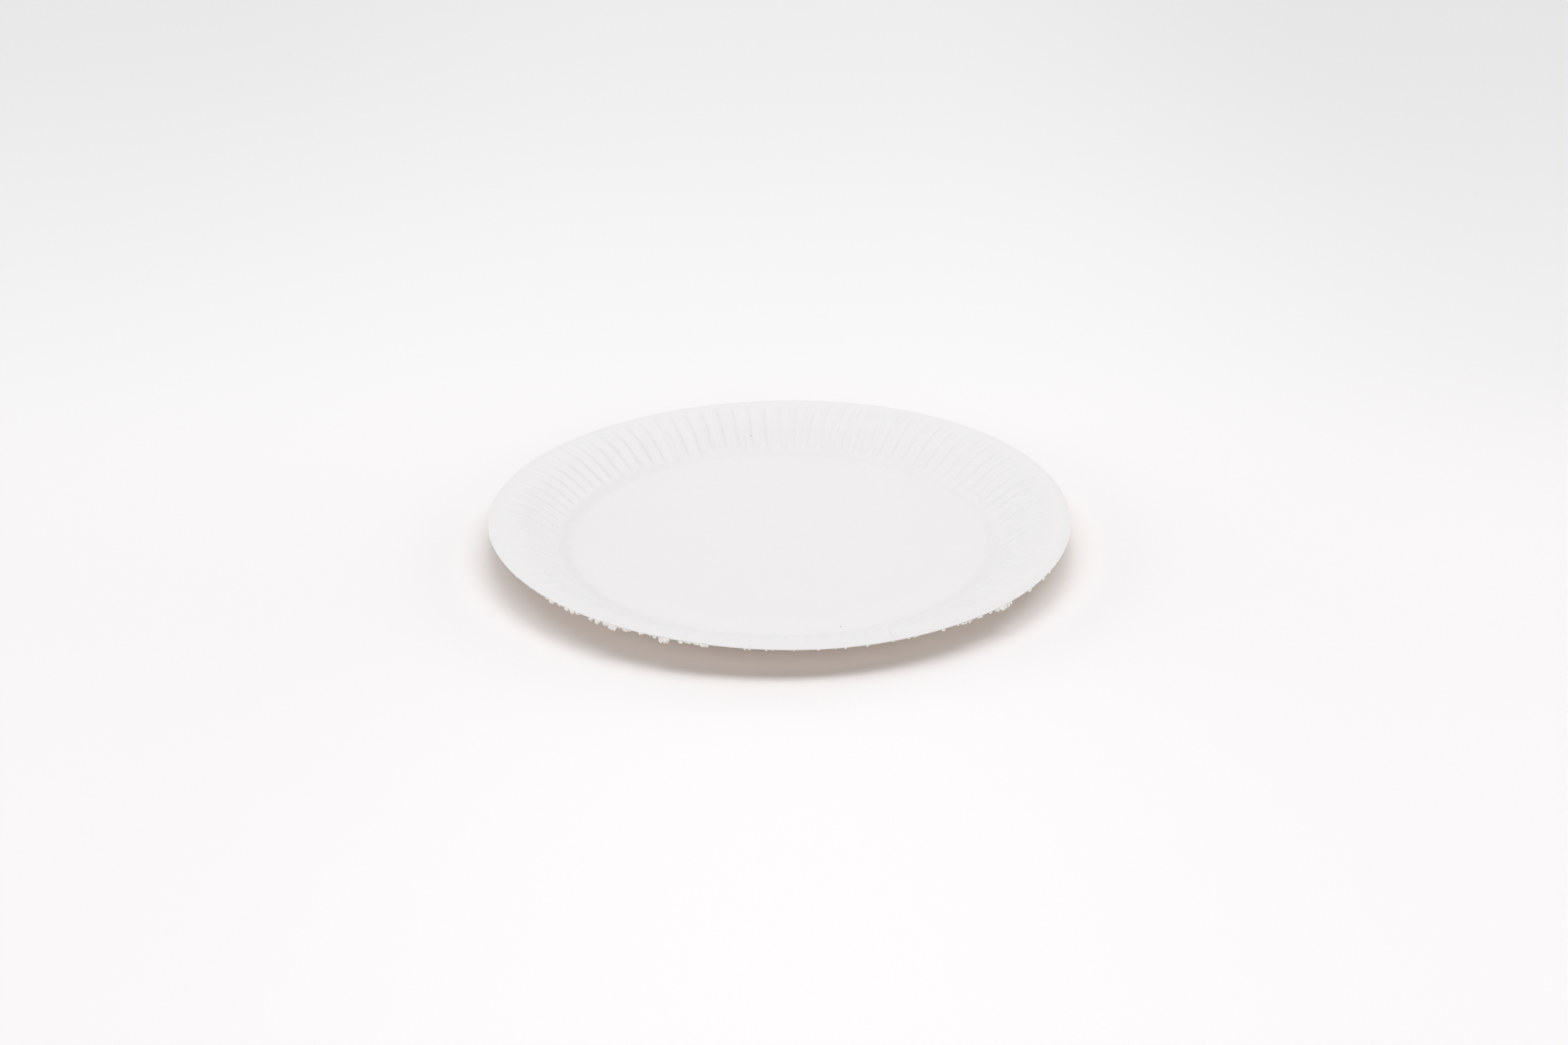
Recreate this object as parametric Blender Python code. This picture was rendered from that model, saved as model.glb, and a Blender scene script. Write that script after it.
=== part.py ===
"""Round paper plate, pressed in one piece from a disc of coated white board.

The flat bottom turns up through a small foot bend into a flared wall, and the
wall curves over through a wide shoulder bend into a level rim. Flutes take up
the spare edge of the disc. They are raised fingers with rounded ends, with
narrow grooves between them, and run from the foot bend to just inside the
rim. Each finger is pressed through the board, so it stands on the upper face
and is hollow underneath.

Metres, +Z up. The origin is at the middle of the underside, where the plate
rests, and +Y points away from the side that faces the viewer.
"""

import math

import bmesh
import bpy

# The board and the outline of the pressed plate
PLATE_RADIUS = 0.0900
FLAT_RADIUS = 0.0645
RIM_HEIGHT = 0.0100
BOARD_THICKNESS = 0.00040

# The wall's section, between the flat bottom and the level part of the rim
FOOT_BEND_RADIUS = 0.0050
SHOULDER_BEND_RADIUS = 0.0250
LEVEL_RIM_WIDTH = 0.0015

# The flutes, and how far they stay from the flat bottom and the cut edge. The
# heading is the way from the middle of the plate to the first groove.
FLUTE_COUNT = 96
FIRST_GROOVE_HEADING = math.radians(0.8)
FLUTE_HEIGHT = 0.00065
FLUTE_FOOT_GAP = 0.0022
FLUTE_RIM_GAP = 0.0034
FLUTE_END_ROUNDING = 0.0012

# Places across one flute, from its groove to the next: how far round each
# lies, and how much of the flute's height the board is raised there
ACROSS_PLACE_SHARES = (0.0, 0.20, 0.80)
ACROSS_LIFT_SHARES = (0.0, 1.0, 1.0)

# Places along one flute, from its foot to its outer end, in the same way
ALONG_PLACE_SHARES = (0.0, 0.10, 0.25, 0.45, 0.65, 0.83, 0.96, 1.0)
ALONG_LIFT_SHARES = (0.0, 0.60, 0.70, 0.80, 0.90, 1.00, 0.75, 0.0)

# The pressed board springs a little out of true: two opposite sides of the
# rim stand this much above its height, and the sides between them this much
# below it. The heading is the way to one of the high sides.
RIM_SPRING = 0.0008
SPRING_HEADING = math.radians(37)

# The finish of the board
BOARD_COLOUR = (0.86, 0.855, 0.855, 1.0)
BOARD_ROUGHNESS = 0.6
SHARP_EDGE_ANGLE = math.radians(50)

LEVEL_RIM_RADIUS = PLATE_RADIUS - LEVEL_RIM_WIDTH


def bends_and_wall_angle():
    """Return the foot bend, the shoulder bend and the angle of the wall.

    The wall is the straight line that touches both bends. Where the rim is so
    close to the flat bottom that the bends would meet, both shrink to fit.
    """
    run = LEVEL_RIM_RADIUS - FLAT_RADIUS
    rise = RIM_HEIGHT - BOARD_THICKNESS
    both_bends = FOOT_BEND_RADIUS + SHOULDER_BEND_RADIUS
    largest_bends = (run ** 2 + rise ** 2) / (2 * rise)
    fit = min(1, largest_bends / both_bends)
    drop = fit * both_bends - rise
    tilt = math.asin(min(1, fit * both_bends / math.hypot(run, drop)))
    return fit * FOOT_BEND_RADIUS, fit * SHOULDER_BEND_RADIUS, tilt - math.atan2(drop, run)


FOOT_BEND, SHOULDER_BEND, WALL_ANGLE = bends_and_wall_angle()


def plain_section(radius):
    """Return the height and the slope of the unfluted upper face at a radius."""
    past_flat = radius - FLAT_RADIUS
    before_rim = LEVEL_RIM_RADIUS - radius
    foot_run = FOOT_BEND * math.sin(WALL_ANGLE)
    if past_flat < foot_run:
        slope = math.asin(past_flat / FOOT_BEND)
        return BOARD_THICKNESS + FOOT_BEND * (1 - math.cos(slope)), slope
    if before_rim > SHOULDER_BEND * math.sin(WALL_ANGLE):
        foot_height = BOARD_THICKNESS + FOOT_BEND * (1 - math.cos(WALL_ANGLE))
        return foot_height + (past_flat - foot_run) * math.tan(WALL_ANGLE), WALL_ANGLE
    slope = math.asin(max(0, before_rim) / SHOULDER_BEND)
    return RIM_HEIGHT - SHOULDER_BEND * (1 - math.cos(slope)), slope


def board_point(turn, radius, lift, depth):
    """Return a point of the board, raised by the lift and then a depth below its face."""
    height, slope = plain_section(radius)
    reach = radius - (lift - depth) * math.sin(slope)
    wall_share = (radius - FLAT_RADIUS) / (PLATE_RADIUS - FLAT_RADIUS)
    spring = RIM_SPRING * wall_share ** 2 * math.cos(2 * (turn - SPRING_HEADING))
    rise = height + (lift - depth) * math.cos(slope) + spring
    return (reach * math.cos(turn), reach * math.sin(turn), rise)


def column_places(across_lift_share):
    """Return the radius and the lift at each place of one column, from the flat outwards."""
    rounding = FLUTE_END_ROUNDING * (1 - across_lift_share)
    foot = FLAT_RADIUS + FLUTE_FOOT_GAP + rounding
    end = PLATE_RADIUS - FLUTE_RIM_GAP - rounding
    places = [(FLAT_RADIUS, 0)]
    for place_share, lift_share in zip(ALONG_PLACE_SHARES, ALONG_LIFT_SHARES):
        lift = FLUTE_HEIGHT * lift_share * across_lift_share
        places.append((foot + (end - foot) * place_share, lift))
    places.append((PLATE_RADIUS, 0))
    return places


def add_rings(shape, depth):
    """Add one face of the board as rings of points, from the flat to the cut edge."""
    columns = []
    for flute in range(FLUTE_COUNT):
        for place_share, lift_share in zip(ACROSS_PLACE_SHARES, ACROSS_LIFT_SHARES):
            turn = FIRST_GROOVE_HEADING + math.tau * (flute + place_share) / FLUTE_COUNT
            places = column_places(lift_share)
            columns.append([shape.verts.new(board_point(turn, *place, depth)) for place in places])
    return [list(ring) for ring in zip(*columns)]


def join_rings(shape, inner, outer):
    """Join two rings with four-sided faces that look along +Z when the second is outside."""
    for left in range(len(inner)):
        right = (left + 1) % len(inner)
        shape.faces.new((inner[left], outer[left], outer[right], inner[right]))


def build_board_mesh():
    """Return the mesh of the pressed board, a single closed skin."""
    shape = bmesh.new()
    upper = add_rings(shape, 0)
    under = add_rings(shape, BOARD_THICKNESS)
    shape.faces.new(upper[0])
    shape.faces.new(list(reversed(under[0])))
    for inner, outer in zip(upper, upper[1:]):
        join_rings(shape, inner, outer)
    for inner, outer in zip(under, under[1:]):
        join_rings(shape, outer, inner)
    join_rings(shape, upper[-1], under[-1])
    mesh = bpy.data.meshes.new("plate")
    shape.to_mesh(mesh)
    shape.free()
    mesh.shade_smooth()
    mesh.set_sharp_from_angle(angle=SHARP_EDGE_ANGLE)
    return mesh


def board_material():
    """Return the white coated board."""
    material = bpy.data.materials.new("coated_board")
    material.use_nodes = True
    shader = material.node_tree.nodes["Principled BSDF"]
    shader.inputs["Base Color"].default_value = BOARD_COLOUR
    shader.inputs["Roughness"].default_value = BOARD_ROUGHNESS
    shader.inputs["Metallic"].default_value = 0
    return material


def main():
    """Clear the scene and build the plate."""
    for leftover in list(bpy.data.objects):
        bpy.data.objects.remove(leftover)
    plate = bpy.data.objects.new("plate", build_board_mesh())
    plate.data.materials.append(board_material())
    bpy.context.scene.collection.objects.link(plate)


main()
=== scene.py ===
"""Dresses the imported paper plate.

The pressed board is drawn as a plain section, spun into a dish, and pressed: flutes, a slight
spring out of true, and the fine creases where the board folded over itself. A second piece holds
the torn fibres that the cutting die left on the edge. The stage is a pale floor in a ring of
soft lights, seen from the photograph's place.

Metres, +Z up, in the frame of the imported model. Headings go round the plate in degrees: 0 is the
viewer's right, 90 the back, and -90 the front.
"""

import math

import bpy
import numpy as np
from bpy.props import FloatProperty, FloatVectorProperty, IntProperty, PointerProperty
from mathutils import Matrix, Vector


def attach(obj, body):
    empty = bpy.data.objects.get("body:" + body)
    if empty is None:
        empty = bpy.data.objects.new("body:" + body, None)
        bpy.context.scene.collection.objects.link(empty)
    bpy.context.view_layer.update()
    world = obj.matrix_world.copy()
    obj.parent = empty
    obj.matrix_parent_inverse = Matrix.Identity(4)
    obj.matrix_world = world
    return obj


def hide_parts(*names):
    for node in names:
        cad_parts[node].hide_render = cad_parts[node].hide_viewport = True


bl_info = {
    "name": "Paper Plate",
    "version": (1, 0, 0),
    "blender": (4, 5, 0),
    "location": "3D View > Sidebar > Paper Plate",
    "description": "Builds a pressed paper plate with a fluted wall and a frayed cut edge",
    "category": "Add Mesh",
}

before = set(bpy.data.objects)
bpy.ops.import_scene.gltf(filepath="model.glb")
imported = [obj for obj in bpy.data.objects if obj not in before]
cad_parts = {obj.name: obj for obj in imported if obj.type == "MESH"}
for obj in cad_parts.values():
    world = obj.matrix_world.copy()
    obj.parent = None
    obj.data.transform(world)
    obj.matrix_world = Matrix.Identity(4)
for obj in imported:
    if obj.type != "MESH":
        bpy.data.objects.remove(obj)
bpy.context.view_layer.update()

# The share of one flute at which each column of points stands, from its groove to the next
COLUMN_SHARES = (0.0, 0.15, 0.185, 0.225, 0.26, 0.47, 0.68, 0.715, 0.755, 0.79)

# Stretches of the section from the flat outwards: where each ends, as a share of the wall's
# width, and into how many rows of points it is cut
ROW_STRETCHES = ((0.30, 15), (0.72, 10), (0.93, 14), (0.985, 3), (1.0, 2))

# Creases in the upper face. Heading at the outer end and at the inner end, how far the middle
# bows round from the straight line, the two ends as shares of the plate's radius, and how
# deep the crease is at each end.
CREASES = (
    (175.0, 174.3, 0.15, 0.940, 0.840, 0.8, 1.0),
    (-163.3, -164.6, -0.25, 0.905, 0.770, 1.3, 0.6),
    (-6.8, -7.4, 0.10, 0.925, 0.742, 0.6, 1.0),
    (-24.7, -25.3, -0.90, 0.927, 0.800, 0.9, 0.6),
    (-25.7, -26.5, 0.0, 0.761, 0.747, 0.4, 0.4),
    (-47.0, -47.2, 0.30, 0.921, 0.826, 1.0, 0.8),
    (-46.7, -46.9, 0.0, 0.994, 0.966, 0.4, 0.4),
    (-51.7, -50.6, 0.1, 0.994, 0.956, 0.7, 0.5),
    (108.5, 108.9, 0.25, 0.880, 0.768, 0.35, 0.6),
    (81.3, 82.2, 0.2, 0.930, 0.803, 0.35, 0.45),
    (119.7, 119.5, -0.70, 0.875, 0.770, 0.4, 0.5),
    (-116.4, -115.6, 0.35, 0.984, 0.936, 0.7, 0.5),
    (-108.6, -107.8, 0.15, 0.985, 0.935, 0.7, 0.5),
    (-104.8, -104.4, 0.0, 0.982, 0.956, 0.6, 0.4),
    (-99.7, -99.3, 0.0, 0.978, 0.951, 0.6, 0.4),
    (-95.7, -95.7, 0.0, 0.968, 0.943, 0.5, 0.5),
    (-85.1, -84.9, 0.0, 0.968, 0.933, 0.5, 0.5),
    (-75.6, -76.5, 0.25, 0.992, 0.927, 0.9, 0.7),
    (-67.6, -68.6, 0.15, 0.992, 0.930, 0.9, 0.7),
    (-69.1, -69.0, 0.0, 0.981, 0.962, 0.3, 0.3),
    (-130.4, -130.0, 0.0, 0.991, 0.972, 0.6, 0.5),
    (-146.6, -146.4, 0.0, 0.973, 0.954, 0.4, 0.3),
)

# Dark specks in the coating: heading, share of the radius, width in metres, how dark
SPECKS = (
    (-73.2, 0.687, 0.00042, 1.0),
    (97.6, 0.809, 0.00035, 0.6),
    (79.0, 0.732, 0.00030, 0.3),
    (5.8, 0.909, 0.00030, 0.3),
    (125.2, 0.719, 0.00030, 0.35),
    (58.0, 0.732, 0.00030, 0.3),
    (36.3, 0.854, 0.00030, 0.3),
    (21.4, 0.872, 0.00030, 0.3),
)

# Torn fibres on the cut edge: heading of the tuft, how wide it is round the edge in degrees,
# how far it hangs in metres, and how many fibres it has
TUFTS = (
    (-149.2, 0.4, 0.0005, 3),
    (-138.4, 0.4, 0.0005, 3),
    (-136.8, 0.8, 0.0012, 12),
    (-134.9, 0.5, 0.0006, 4),
    (-132.8, 0.8, 0.0010, 9),
    (-131.2, 1.0, 0.0010, 12),
    (-129.7, 0.8, 0.0007, 7),
    (-126.5, 0.7, 0.0012, 10),
    (-124.9, 1.1, 0.0012, 13),
    (-123.0, 0.9, 0.0010, 11),
    (-121.7, 1.6, 0.0015, 22),
    (-119.1, 0.9, 0.0010, 9),
    (-118.0, 0.6, 0.0005, 4),
    (-115.6, 0.9, 0.0006, 6),
    (-112.8, 0.5, 0.0007, 5),
    (-111.1, 1.2, 0.0017, 20),
    (-107.8, 0.8, 0.0008, 9),
    (-106.5, 0.9, 0.0006, 7),
    (-105.0, 0.9, 0.0006, 7),
    (-103.4, 1.4, 0.0010, 14),
    (-95.8, 1.2, 0.0004, 4),
    (-83.0, 0.5, 0.0004, 3),
    (-78.3, 0.6, 0.0005, 3),
    (-74.2, 0.5, 0.0004, 3),
    (-58.9, 0.7, 0.0005, 4),
    (-54.2, 0.8, 0.0006, 6),
    (-52.7, 0.7, 0.0006, 5),
    (-50.3, 0.9, 0.0007, 7),
    (-47.5, 0.7, 0.0006, 5),
    (-45.6, 0.9, 0.0010, 10),
    (-44.3, 1.2, 0.0014, 16),
    (-42.6, 1.1, 0.0011, 13),
    (-35.6, 0.8, 0.0007, 6),
    (-30.2, 0.8, 0.0007, 6),
    (-27.4, 0.6, 0.0005, 4),
    (-6.2, 0.6, 0.0004, 3),
    (4.5, 0.7, 0.0004, 4),
    (9.0, 0.6, 0.0003, 3),
    (14.5, 0.8, 0.0003, 3),
    (167.0, 0.8, 0.0003, 3),
    (171.5, 0.8, 0.0003, 3),
)

# How uneven the press is: how far a groove wanders round, the share by which a flute's height
# varies, how far its foot and its outer end move, and how many waves run round the rim and how
# high they are
GROOVE_WANDER = math.radians(0.06)
HEIGHT_VARIES = 0.07
FOOT_MOVES = 0.0003
END_MOVES = 0.00025
RIM_WAVES = range(3, 9)
WAVE_HEIGHTS = (0.00001, 0.00004)

# The two flanks of a flute, as shares of the way from its groove to the next
CLIMB_START = 0.15
FALL_END = 0.79
FLANK_SHARE = 0.11

# The two ends of a flute: how far its corners are rounded off at the foot and at the rim, how
# squarely, and over what length it rises at the foot and falls at the rim
FOOT_ROUNDING = 0.0008
RIM_ROUNDING = 0.0020
ROUNDING_POWER = 2.4
FOOT_RISE = 0.0024
RIM_FALL = 0.0028

# The height of a flute along the wall, as shares of the full height: what it has everywhere,
# what it swells by towards the rim, and the bead near its foot, with the bead's place and width
LEVEL_SHARE = 0.80
SWELL_SHARE = 0.35
SWELL_POWER = 1.6
BEAD_SHARE = 0.15
BEAD_PLACE = 0.0030
BEAD_WIDTH = 0.0010

# How much lower the flutes are at the front, and how suddenly that comes
FRONT_LOWER = 0.8
FRONT_POWER = 1.5

# How a crease runs out: how far beyond its ends the columns still give way to it, over what
# length its depth tapers, how suddenly, and how many columns give way on each side
CREASE_RUN_OUT = 0.0016
CREASE_TAPER = 0.0009
TAPER_POWER = 0.7
CREASE_COLUMNS = 6

# How far beside a crease the flutes lie lower, and by what share
CREASE_SIDE = 0.00065
CREASE_FLATTENS = 0.75

# The rounding of the cut edge, as a share of the board's thickness, and the sharpest bend that
# is still shaded smooth
EDGE_ROUNDING = 0.25
SMOOTH_BEND = math.radians(50)

# Seeds of the random draws: for the press, for one torn scrap, and for the tufts
PRESS_SEED = 41
SCRAP_SEED = 7
TUFT_SEED = 11

# The patterns of the board, by the width of their spots, and how far its fibres are drawn out
CLOUDS = 0.018
MOTTLE = 0.0022
WRINKLES = 0.0013
FLECKS = 0.0007
STRANDS = 0.0007
TOOTH = 0.00035
STRAND_STRETCH = (1, 0.3, 1)

# Bands of the coated face, in metres out from the flat bottom: where each starts and where it
# is full, and for some where it starts to fade and where it has gone
NEAR_FOOT = (-0.0140, -0.0040, 0, 0.0015)
BEND_STARTS = (-0.0010, 0.0026)
BEND_ENDS = (0.0034, 0.0056)
BEND_RAGGED = 0.003
WRINKLED_WALL = (0.0010, 0.0060)
WALL = (0.0010, 0.0040, 0.0125, 0.0215)
CREST = (0.0130, 0.0145, 0.0180, 0.0210)
RIM = (0.0170, 0.0230)
OUTER_RIM = (0.0230, 0.0255)

# How much darker the foot bend is painted, as shares of the coating's tone: the bend itself, which
# is painted shade, its crumpled coating's wrinkles and its flecks, and what share of the last two
# the wall has
BEND_PAINTED_SHADE = 0.034
WRINKLES_DARKER = 0.022
FLECKS_DARKER = 0.024
WALL_WRINKLES = 0.15
WALL_FLECKS = 0.35

# How much lighter or darker the bands are painted, as painted light and shade by side, in shares
# of the coating's tone
NEAR_FOOT_PAINTED_LIGHT = 0.014
WALL_PAINTED_LIGHT_BEHIND = 0.024
WALL_PAINTED_LIGHT_RIGHT = 0.022
RIM_PAINTED_LIGHT = 0.001
RIM_PAINTED_LIGHT_BEHIND = 0.010
OUTER_RIM_PAINTED_SHADE = 0.012
OUTER_RIM_PAINTED_SHADE_RIGHT = 0.018
CREST_PAINTED_SHADE = 0.028

# Colours of the board's small marks: the raw cut edge, lighter than the coated face as painted
# light, the painted shade in the creases with its strength, and the dark specks
EDGE_PAINTED_LIGHT_COLOUR = (0.95, 0.94, 0.93, 1)
CREASE_SHADE_COLOUR = (0.40, 0.36, 0.34, 1)
CREASE_SHADE_STRENGTH = 0.30
SPECK_COLOUR = (0.05, 0.045, 0.04, 1)

# One bundle of fibres: how far each step goes aside and down, in widths, and how it thins
FIBRE_STEPS = ((0.5, 2.2, 0.9), (1.0, 2.2, 0.8), (0.3, 2.4, 0.55), (-0.6, 2.0, 0.4))
FIBRE_SIDES = 5

# One torn scrap, as shares of its width: how thick it is, how much narrower its end is, how
# ragged it is, and how far it curls. Then the rows of faces across it and down it.
SCRAP_THICKNESS = 0.25
SCRAP_NARROWS = 0.45
SCRAP_RAGGED = 0.13
SCRAP_CURL = 0.35
SCRAP_ROWS = (5, 4)

# The fuzz between the tufts: its headings, how wide each bit is in degrees, and how far it hangs
FUZZ_HEADINGS = (-152, -22)
FUZZ_SPREAD = 0.3
FUZZ_HANG = (0.00015, 0.0003)

# How fibres and scraps hang: where they leave the cut edge, in thicknesses below its top and in
# metres inside it, what share of the tuft's reach they have, how far they stand out in degrees,
# and how far they lean to either side
LEAVES_BELOW = (0.35, 0.9)
LEAVES_INSIDE = 0.00004
HANG_SHARES = (0.3, 0.85)
STAND_OUT = (48, 80)
FIBRE_LEAN = 40
SCRAP_LEAN = 15

# Their least width and how much wider they come, a scrap in step with its tuft's reach
LEAST_WIDE = 0.8
FIBRE_WIDER = 0.7
SCRAP_WIDER = 1.3
SCRAP_REACH = 0.0012

# The floor: its width, how far below the plate it lies, the stretch over which it is painted
# greyer away from the viewer as painted shade, and the bands that are painted a little lighter or
# darker as painted light and shade, with how much
FLOOR_WIDTH = 12
FLOOR_DROP = 0.00005
FLOOR_SHADED_AWAY = (-0.35, 0.65)
BEHIND_PLATE = (-0.02, 0.15)
BEHIND_PAINTED_LIGHT = 0.020
BESIDE_PLATE = (0.01, 0.17)
BESIDE_ENDS = (-0.08, 0.12)
BESIDE_PAINTED_SHADE = 0.033
RIGHT_BEHIND = (0.05, 0.30)
RIGHT_BEHIND_PAINTED_SHADE = 0.045
SIDES_BEHIND = (0.08, 0.32)
SIDES_BEHIND_PAINTED_SHADE = 0.030

# Soft lights round the plate: heading and elevation in degrees, and its share of the power
HIGH_LIGHTS = (
    (0, 90, 13.5),
    (90, 62, 7.5),
    (180, 62, 11.0),
    (0, 62, 15.0),
    (90, 36, 4.5),
    (-90, 36, 5.5),
)
LOW_LIGHTS = (
    (0, 14, 8.0),
    (45, 14, 11.0),
    (90, 14, 2.0),
    (135, 14, 8.0),
    (180, 14, 13.5),
    (-135, 14, 3.5),
    (-90, 14, 7.5),
    (-45, 14, 7.5),
)
HIGH_LIGHT_COLOUR = (1.0, 0.994, 1.0)
LOW_LIGHT_COLOUR = (0.99, 1.0, 0.98)
BACKDROP_COLOUR = (0.90, 0.90, 0.91, 1)

# The camera: its lens and film in millimetres, and where it stands and looks
LENS = 58.80
FILM_WIDTH = 36.0
NEAREST_SEEN = 0.01
CAMERA_ELEVATION = math.radians(25.321)
CAMERA_ROLL = math.radians(-0.159)
CAMERA_DISTANCE = 0.81
CAMERA_AIM = Vector((0.00139, 0.01272, 0))


class BoardSizes(bpy.types.PropertyGroup):
    """Sizes and colours of the pressed board."""

    plate_radius: FloatProperty(
        name="Plate radius",
        description="From the middle of the plate to its cut edge",
        default=0.08992,
        unit="LENGTH",
    )
    flat_radius: FloatProperty(
        name="Flat radius",
        description="From the middle of the plate to where the foot bend starts",
        default=0.0640,
        unit="LENGTH",
    )
    rim_height: FloatProperty(
        name="Rim height",
        description="From the table to the upper face of the level rim",
        default=0.01006,
        unit="LENGTH",
    )
    thickness: FloatProperty(
        name="Board thickness",
        description="Thickness of the board",
        default=0.0004,
        unit="LENGTH",
    )
    foot_bend: FloatProperty(
        name="Foot bend",
        description="Radius of the bend between the flat bottom and the wall",
        default=0.0100,
        unit="LENGTH",
    )
    shoulder_bend: FloatProperty(
        name="Shoulder bend",
        description="Radius of the bend between the wall and the level rim",
        default=0.0240,
        unit="LENGTH",
    )
    level_rim: FloatProperty(
        name="Level rim",
        description="Width of the level outer part of the rim",
        default=0.0015,
        unit="LENGTH",
    )
    roll_width: FloatProperty(
        name="Rolled edge",
        description="Width of the outer part of the rim that turns down a little",
        default=0.0028,
        unit="LENGTH",
    )
    roll_drop: FloatProperty(
        name="Drop of the edge",
        description="How far the cut edge lies below the level rim",
        default=0.00018,
        unit="LENGTH",
    )
    rim_spring: FloatProperty(
        name="Rim spring",
        description="How far two opposite sides of the rim stand above its height",
        default=0.0008,
        unit="LENGTH",
    )
    spring_heading: FloatProperty(
        name="Spring heading",
        description="The way to one of the two high sides of the rim",
        default=math.radians(37),
        subtype="ANGLE",
        unit="ROTATION",
    )
    flute_count: IntProperty(
        name="Flutes", description="Number of flutes round the wall", default=96
    )
    flute_height: FloatProperty(
        name="Flute height",
        description="How far the middle of a flute stands above the wall",
        default=0.00034,
        unit="LENGTH",
    )
    first_groove: FloatProperty(
        name="First groove",
        description="The way to the first groove",
        default=math.radians(0.8),
        subtype="ANGLE",
        unit="ROTATION",
    )
    flute_foot_gap: FloatProperty(
        name="Flute foot gap",
        description="From the edge of the flat bottom to the inner end of the flutes",
        default=0.0036,
        unit="LENGTH",
    )
    flute_rim_gap: FloatProperty(
        name="Flute rim gap",
        description="From the outer end of the flutes to the cut edge",
        default=0.0034,
        unit="LENGTH",
    )
    crease_depth: FloatProperty(
        name="Crease depth",
        description="How deep the deepest creases are",
        default=0.00012,
        unit="LENGTH",
    )
    crease_width: FloatProperty(
        name="Crease width",
        description="Width of a crease at the face of the board",
        default=0.00020,
        unit="LENGTH",
    )
    face_colour: FloatVectorProperty(
        name="Coated face",
        description="Colour of the coated upper face",
        subtype="COLOR",
        size=4,
        min=0,
        max=1,
        default=(0.852, 0.841, 0.845, 1),
    )
    back_colour: FloatVectorProperty(
        name="Uncoated face",
        description="Colour of the plain underside and the cut edge",
        subtype="COLOR",
        size=4,
        min=0,
        max=1,
        default=(0.82, 0.70, 0.60, 1),
    )


class FibreSizes(bpy.types.PropertyGroup):
    """Sizes and colour of the torn fibres on the cut edge."""

    fibre_width: FloatProperty(
        name="Fibre width",
        description="Thickness of one bundle of fibres where it leaves the board",
        default=0.00015,
        unit="LENGTH",
    )
    scrap_width: FloatProperty(
        name="Scrap width",
        description="Width of one torn scrap of board",
        default=0.0008,
        unit="LENGTH",
    )
    fuzz_count: IntProperty(
        name="Fuzz",
        description="Number of very short fibres between the tufts",
        default=60,
    )
    fibre_colour: FloatVectorProperty(
        name="Fibres",
        description="Colour of the torn fibres",
        subtype="COLOR",
        size=4,
        min=0,
        max=1,
        default=(0.98, 0.95, 0.925, 1),
    )


class StageSizes(bpy.types.PropertyGroup):
    """Colours and strengths of the stage."""

    near_colour: FloatVectorProperty(
        name="Near floor",
        description="Colour of the floor round the plate",
        subtype="COLOR",
        size=4,
        min=0,
        max=1,
        default=(0.995, 0.975, 0.985, 1),
    )
    # The far floor's colour is greyer than the near one: painted shade.
    far_shaded_colour: FloatVectorProperty(
        name="Far floor",
        description="Colour of the floor far behind the plate",
        subtype="COLOR",
        size=4,
        min=0,
        max=1,
        default=(0.824, 0.826, 0.826, 1),
    )
    high_power: FloatProperty(
        name="High lights",
        description="Power of all the lights high over the plate",
        default=56.6,
        unit="POWER",
    )
    low_power: FloatProperty(
        name="Low lights",
        description="Power of all the lights low round the plate",
        default=60.0,
        unit="POWER",
    )
    lamp_distance: FloatProperty(
        name="Distance of the lights",
        description="From the middle of the plate to each light",
        default=2.4,
        unit="LENGTH",
    )
    lamp_width: FloatProperty(
        name="Width of the lights",
        description="Width of each round light",
        default=1.35,
        unit="LENGTH",
    )


class Wire:
    """A socket of a material on which sums are written as Python sums."""

    def __init__(self, finish, socket):
        self.finish = finish
        self.socket = socket

    def sum(self, operation, first, second):
        return self.finish.node("ShaderNodeMath", {"operation": operation}, {0: first, 1: second})

    def __add__(self, other):
        return self.sum("ADD", self, other)

    def __radd__(self, other):
        return self.sum("ADD", other, self)

    def __sub__(self, other):
        return self.sum("SUBTRACT", self, other)

    def __rsub__(self, other):
        return self.sum("SUBTRACT", other, self)

    def __mul__(self, other):
        return self.sum("MULTIPLY", self, other)

    def __rmul__(self, other):
        return self.sum("MULTIPLY", other, self)

    def __truediv__(self, other):
        return self.sum("DIVIDE", self, other)

    def at_least(self, other):
        return self.sum("MAXIMUM", self, other)


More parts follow.
